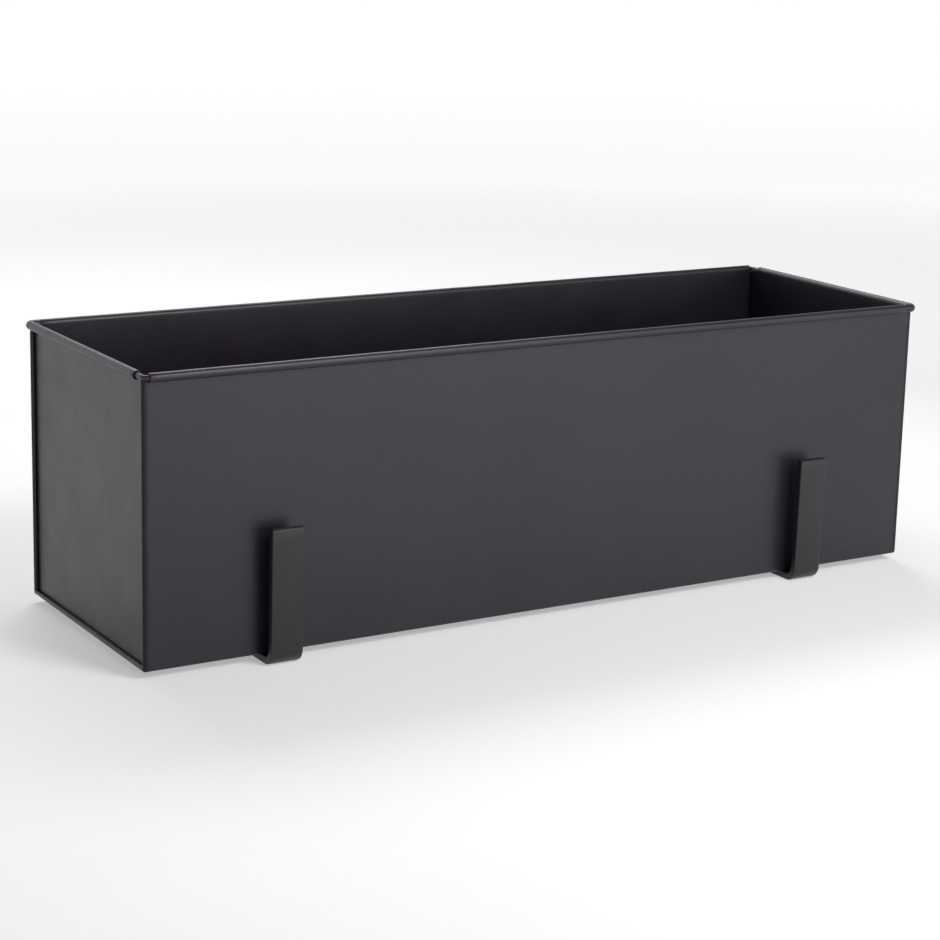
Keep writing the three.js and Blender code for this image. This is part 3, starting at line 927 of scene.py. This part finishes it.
def powder_coat(name, colours, roughness, seam_shaded=False):
    """Satin powder coat: a fine orange peel, faint clouds and a few dull specks.

    A seam-shaded coat has painted shade along the box's upright folded edges: it is darker, duller
    and less glossy there.
    """
    dark, light, speck = colours
    n = Nodes(name)
    clouds = n.noise(CLOUDS, detail=3.0)
    colour = n.colours(n.band(clouds, *MIDDLE), dark, light)
    grains = n.noise(GRAINS, detail=1.0)
    colour = n.over(n.band(grains, *PEAKS, 0, SPECK_SHARE), colour, speck)
    patches = n.noise(PATCHES, detail=4.0, roughness=0.6)
    rough = n.band(patches, *MOST, *roughness)
    # Painted shade: darkens the coat and dims its gloss along the upright folded edges.
    if seam_shaded:
        seam = painted_seam_shade(n)
        colour = n.over(n.band(seam, 0, 1, 0, SEAM_SHADE_SHARE), colour, SEAM_SHADE_COLOUR)
        rough = n.maths("ADD", rough, n.band(seam, 0, 1, 0, SEAM_ROUGHER))
        specular = n.band(seam, 0, 1, COAT_SPECULAR, SEAM_SHADE_SPECULAR)
        n.link(specular, n.shader.inputs["Specular IOR Level"])
    n.link(colour, n.shader.inputs["Base Color"])
    n.link(rough, n.shader.inputs["Roughness"])
    peel = n.noise(PEEL)
    grit = n.noise(GRIT, roughness=0.6)
    normal = n.bump(peel, PEEL_HEIGHT)
    n.link(n.bump(grit, GRIT_HEIGHT, normal=normal), n.shader.inputs["Normal"])
    n.shader.inputs["Metallic"].default_value = 0.0
    n.shader.inputs["IOR"].default_value = COAT_IOR
    return n.material


def zinc(name):
    """Bright zinc plating with a dulled, slightly yellowed film."""
    n = Nodes(name)
    film = n.noise(ZINC_FILM, detail=3.0, roughness=0.6)
    colour = n.colours(n.band(film, *MIDDLE), ZINC_DARK, ZINC_LIGHT)
    stain = n.noise(ZINC_STAIN)
    colour = n.over(n.band(stain, *STAINS, 0, STAIN_SHARE), colour, ZINC_YELLOWED)
    n.link(colour, n.shader.inputs["Base Color"])
    n.link(n.band(film, *MOST, *ZINC_ROUGHNESS), n.shader.inputs["Roughness"])
    grain = n.noise(ZINC_GRAIN)
    n.link(n.bump(grain, GRAIN_HEIGHT), n.shader.inputs["Normal"])
    n.shader.inputs["Metallic"].default_value = 1.0
    return n.material


# ---- the pieces on their bodies ---------------------------------------------------------


def dress(piece, body, node, material):
    """Gives a piece its material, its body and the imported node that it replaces."""
    piece.data.materials.clear()
    piece.data.materials.append(material)
    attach(piece, body)
    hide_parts(node)


box_coat = powder_coat("box_coat", BOX_COLOURS, BOX_ROUGHNESS)
# The trough's coat, with painted shade along its upright folded edges.
seam_shaded_coat = powder_coat("seam_shaded_coat", BOX_COLOURS, BOX_ROUGHNESS, seam_shaded=True)
bar_coat = powder_coat("bar_coat", BAR_COLOURS, BAR_ROUGHNESS)
zinc_plate = zinc("zinc_plate")

dress(make_trough(), "planter", "trough", seam_shaded_coat)
for side, turn in (("left", -1), ("right", 1)):
    panel = make_end_panel(f"{side}_end_sheet", turn, PANEL_PHASE[side])
    dress(panel, "planter", f"{side}_end_panel", box_coat)
dress(make_wire(), "planter", "rim_wire", box_coat)
for side in ("left", "right"):
    bracket = f"{side}_bracket"
    dress(make_cradle(side), bracket, f"{side}_cradle", bar_coat)
    dress(make_hook(side), f"{side}_hook", f"{side}_rail_hook", bar_coat)
    for level in ("lower", "upper"):
        stem = f"{side}_{level}"
        bolt, washer, nut = (make(side, level) for make in (make_bolt, make_washer, make_wing_nut))
        dress(bolt, bracket, f"{stem}_bolt", zinc_plate)
        dress(washer, f"{stem}_washer", f"{stem}_washer", zinc_plate)
        dress(nut, f"{stem}_nut", f"{stem}_wing_nut", zinc_plate)

# ---- studio -----------------------------------------------------------------------------

IMAGE_WIDTH = 940                # pixels, square
FOCAL_PIXELS = 2366.8
CENTRE_ROW = 420                 # image row of the camera's axis
SENSOR = 36                      # millimetres
CAMERA_PLACE = Vector((-0.8421, -1.3850, 0.4772))
CAMERA_YAW = 31.397 * DEGREE     # from +Y towards +X
CAMERA_PITCH = 12.803 * DEGREE   # down
CAMERA_ROLL = 1.432 * DEGREE
FAR_CLIP = 100


def make_camera():
    data = bpy.data.cameras.new("camera")
    data.sensor_width = SENSOR
    data.lens = SENSOR * FOCAL_PIXELS / IMAGE_WIDTH
    data.shift_y = (CENTRE_ROW - IMAGE_WIDTH / 2) / IMAGE_WIDTH
    data.clip_end = FAR_CLIP
    camera = bpy.data.objects.new("camera", data)
    sin, cos = math.sin, math.cos
    yaw, pitch, roll = CAMERA_YAW, CAMERA_PITCH, CAMERA_ROLL
    forward = Vector((sin(yaw) * cos(pitch), cos(yaw) * cos(pitch), -sin(pitch)))
    right = Vector((cos(yaw), -sin(yaw), 0))
    up = right.cross(forward)
    x_axis = cos(roll) * right + sin(roll) * up
    y_axis = cos(roll) * up - sin(roll) * right
    turned = Matrix((x_axis, y_axis, -forward)).transposed().to_4x4()
    camera.matrix_world = Matrix.Translation(CAMERA_PLACE) @ turned
    bpy.context.scene.collection.objects.link(camera)
    bpy.context.scene.camera = camera


OBJECT_MIDDLE = Vector((0, -0.03, 0.1))


def softbox(name, azimuth, elevation, distance, width, height, power):
    """A soft lamp that faces the object. Azimuth runs from the front round to the right."""
    az, el = azimuth * DEGREE, elevation * DEGREE
    direction = Vector((math.sin(az) * math.cos(el), -math.cos(az) * math.cos(el), math.sin(el)))
    data = bpy.data.lights.new(name, "AREA")
    data.shape = "RECTANGLE"
    data.size = width
    data.size_y = height
    data.energy = power
    lamp = bpy.data.objects.new(name, data)
    lamp.location = OBJECT_MIDDLE + direction * distance
    lamp.rotation_euler = (-direction).to_track_quat("-Z", "Y").to_euler()
    lamp.visible_camera = False
    bpy.context.scene.collection.objects.link(lamp)


# Name, azimuth, elevation, distance, width and height in metres, watts.
LAMPS = [
    ("key", 13, 38, 1.3, 0.5, 0.5, 7),
    ("front_low", 15, 8, 1.5, 0.8, 0.3, 2.7),
    ("right_low", 42, 9, 1.5, 0.8, 0.4, 1.1),
    ("back_top", 170, 50, 1.4, 1.2, 0.6, 10.5),
    ("left_back", -135, 25, 1.3, 0.6, 0.6, 0.5),
]


def seen_directly(tree):
    """1 for camera, mirror and glass rays, 0 for the light that falls on things."""
    path = tree.nodes.new("ShaderNodeLightPath")
    total = path.outputs["Is Camera Ray"]
    for name in ("Is Glossy Ray", "Is Transmission Ray"):
        node = tree.nodes.new("ShaderNodeMath")
        node.operation = "MAXIMUM"
        tree.links.new(total, node.inputs[0])
        tree.links.new(path.outputs[name], node.inputs[1])
        total = node.outputs[0]
    return total


STUDIO_LIGHT = 0.08              # the world's strength as it lights things
HORIZON_LIGHT = 1.0              # its strength as the camera and mirrors see it
ZENITH_LIGHT = 0.3               # the same overhead
ZENITH_START = 0.15              # height of a direction at which it starts to dim
ZENITH_FULL = 0.7
FLOOR_SIZE = 60
FLOOR_COLOUR = (0.88, 0.88, 0.88, 1)
FLOOR_ROUGHNESS = 0.9
WHITE = (1, 1, 1, 1)
# What lifts the floor towards white where it is seen. It is less near the box, which paints a soft
# shade round its foot on top of the lamps' real shadow: metres from the object's foot, level.
GLOW = [(0, 0.38), (0.1, 0.38), (0.25, 0.42), (0.5, 0.36), (1, 0.55), (2, 0.86), (4, 0.94)]
FOOT_HALF = (0.3, 0.11, 0)       # about half the box's length and depth


def make_world():
    world = bpy.data.worlds.new("studio")
    bpy.context.scene.world = world
    world.use_nodes = True
    tree = world.node_tree
    background = tree.nodes["Background"]
    background.inputs["Color"].default_value = WHITE
    direction = tree.nodes.new("ShaderNodeTexCoord")
    height = tree.nodes.new("ShaderNodeSeparateXYZ")
    tree.links.new(direction.outputs["Generated"], height.inputs[0])
    seen = tree.nodes.new("ShaderNodeMapRange")
    seen.interpolation_type = "SMOOTHSTEP"
    seen.inputs["From Min"].default_value = ZENITH_START
    seen.inputs["From Max"].default_value = ZENITH_FULL
    seen.inputs["To Min"].default_value = HORIZON_LIGHT
    seen.inputs["To Max"].default_value = ZENITH_LIGHT
    tree.links.new(height.outputs["Z"], seen.inputs["Value"])
    level = tree.nodes.new("ShaderNodeMapRange")
    level.inputs["To Min"].default_value = STUDIO_LIGHT
    tree.links.new(seen.outputs["Result"], level.inputs["To Max"])
    tree.links.new(seen_directly(tree), level.inputs["Value"])
    tree.links.new(level.outputs["Result"], background.inputs["Strength"])


def make_floor():
    half = FLOOR_SIZE / 2
    corners = [(-half, -half, 0), (half, -half, 0), (half, half, 0), (-half, half, 0)]
    floor = new_object("floor", corners, [(0, 1, 2, 3)])
    material = bpy.data.materials.new("white_floor")
    material.use_nodes = True
    tree = material.node_tree
    shader = tree.nodes["Principled BSDF"]
    shader.inputs["Base Color"].default_value = FLOOR_COLOUR
    shader.inputs["Roughness"].default_value = FLOOR_ROUGHNESS
    shader.inputs["Specular IOR Level"].default_value = 0.0
    shader.inputs["Emission Color"].default_value = WHITE
    # The distance from the rectangle that the box stands on.
    source = tree.nodes.new("ShaderNodeTexCoord").outputs["Object"]
    for operation, vector in (("ABSOLUTE", None), ("SUBTRACT", FOOT_HALF),
                              ("MAXIMUM", (0, 0, 0)), ("LENGTH", None)):
        node = tree.nodes.new("ShaderNodeVectorMath")
        node.operation = operation
        tree.links.new(source, node.inputs[0])
        if vector:
            node.inputs[1].default_value = vector
        source = node.outputs["Value" if operation == "LENGTH" else "Vector"]
    # Less lift near the box: painted shade round its foot, added to the real shadow of the lamps.
    reach = GLOW[-1][0]
    share = tree.nodes.new("ShaderNodeMapRange")
    share.inputs["From Max"].default_value = reach
    tree.links.new(source, share.inputs["Value"])
    glow = tree.nodes.new("ShaderNodeValToRGB")
    stops = glow.color_ramp.elements
    for distance, value in GLOW:
        ends = {0: stops[0], reach: stops[-1]}
        stop = ends.get(distance) or stops.new(distance / reach)
        stop.color = (value, value, value, 1)
    tree.links.new(share.outputs["Result"], glow.inputs["Fac"])
    level = tree.nodes.new("ShaderNodeMath")
    level.operation = "MULTIPLY"
    tree.links.new(glow.outputs["Color"], level.inputs[1])
    tree.links.new(seen_directly(tree), level.inputs[0])
    tree.links.new(level.outputs[0], shader.inputs["Emission Strength"])
    floor.data.materials.append(material)


make_camera()
make_world()
make_floor()
for lamp in LAMPS:
    softbox(*lamp)

bpy.context.scene.view_settings.view_transform = "Standard"
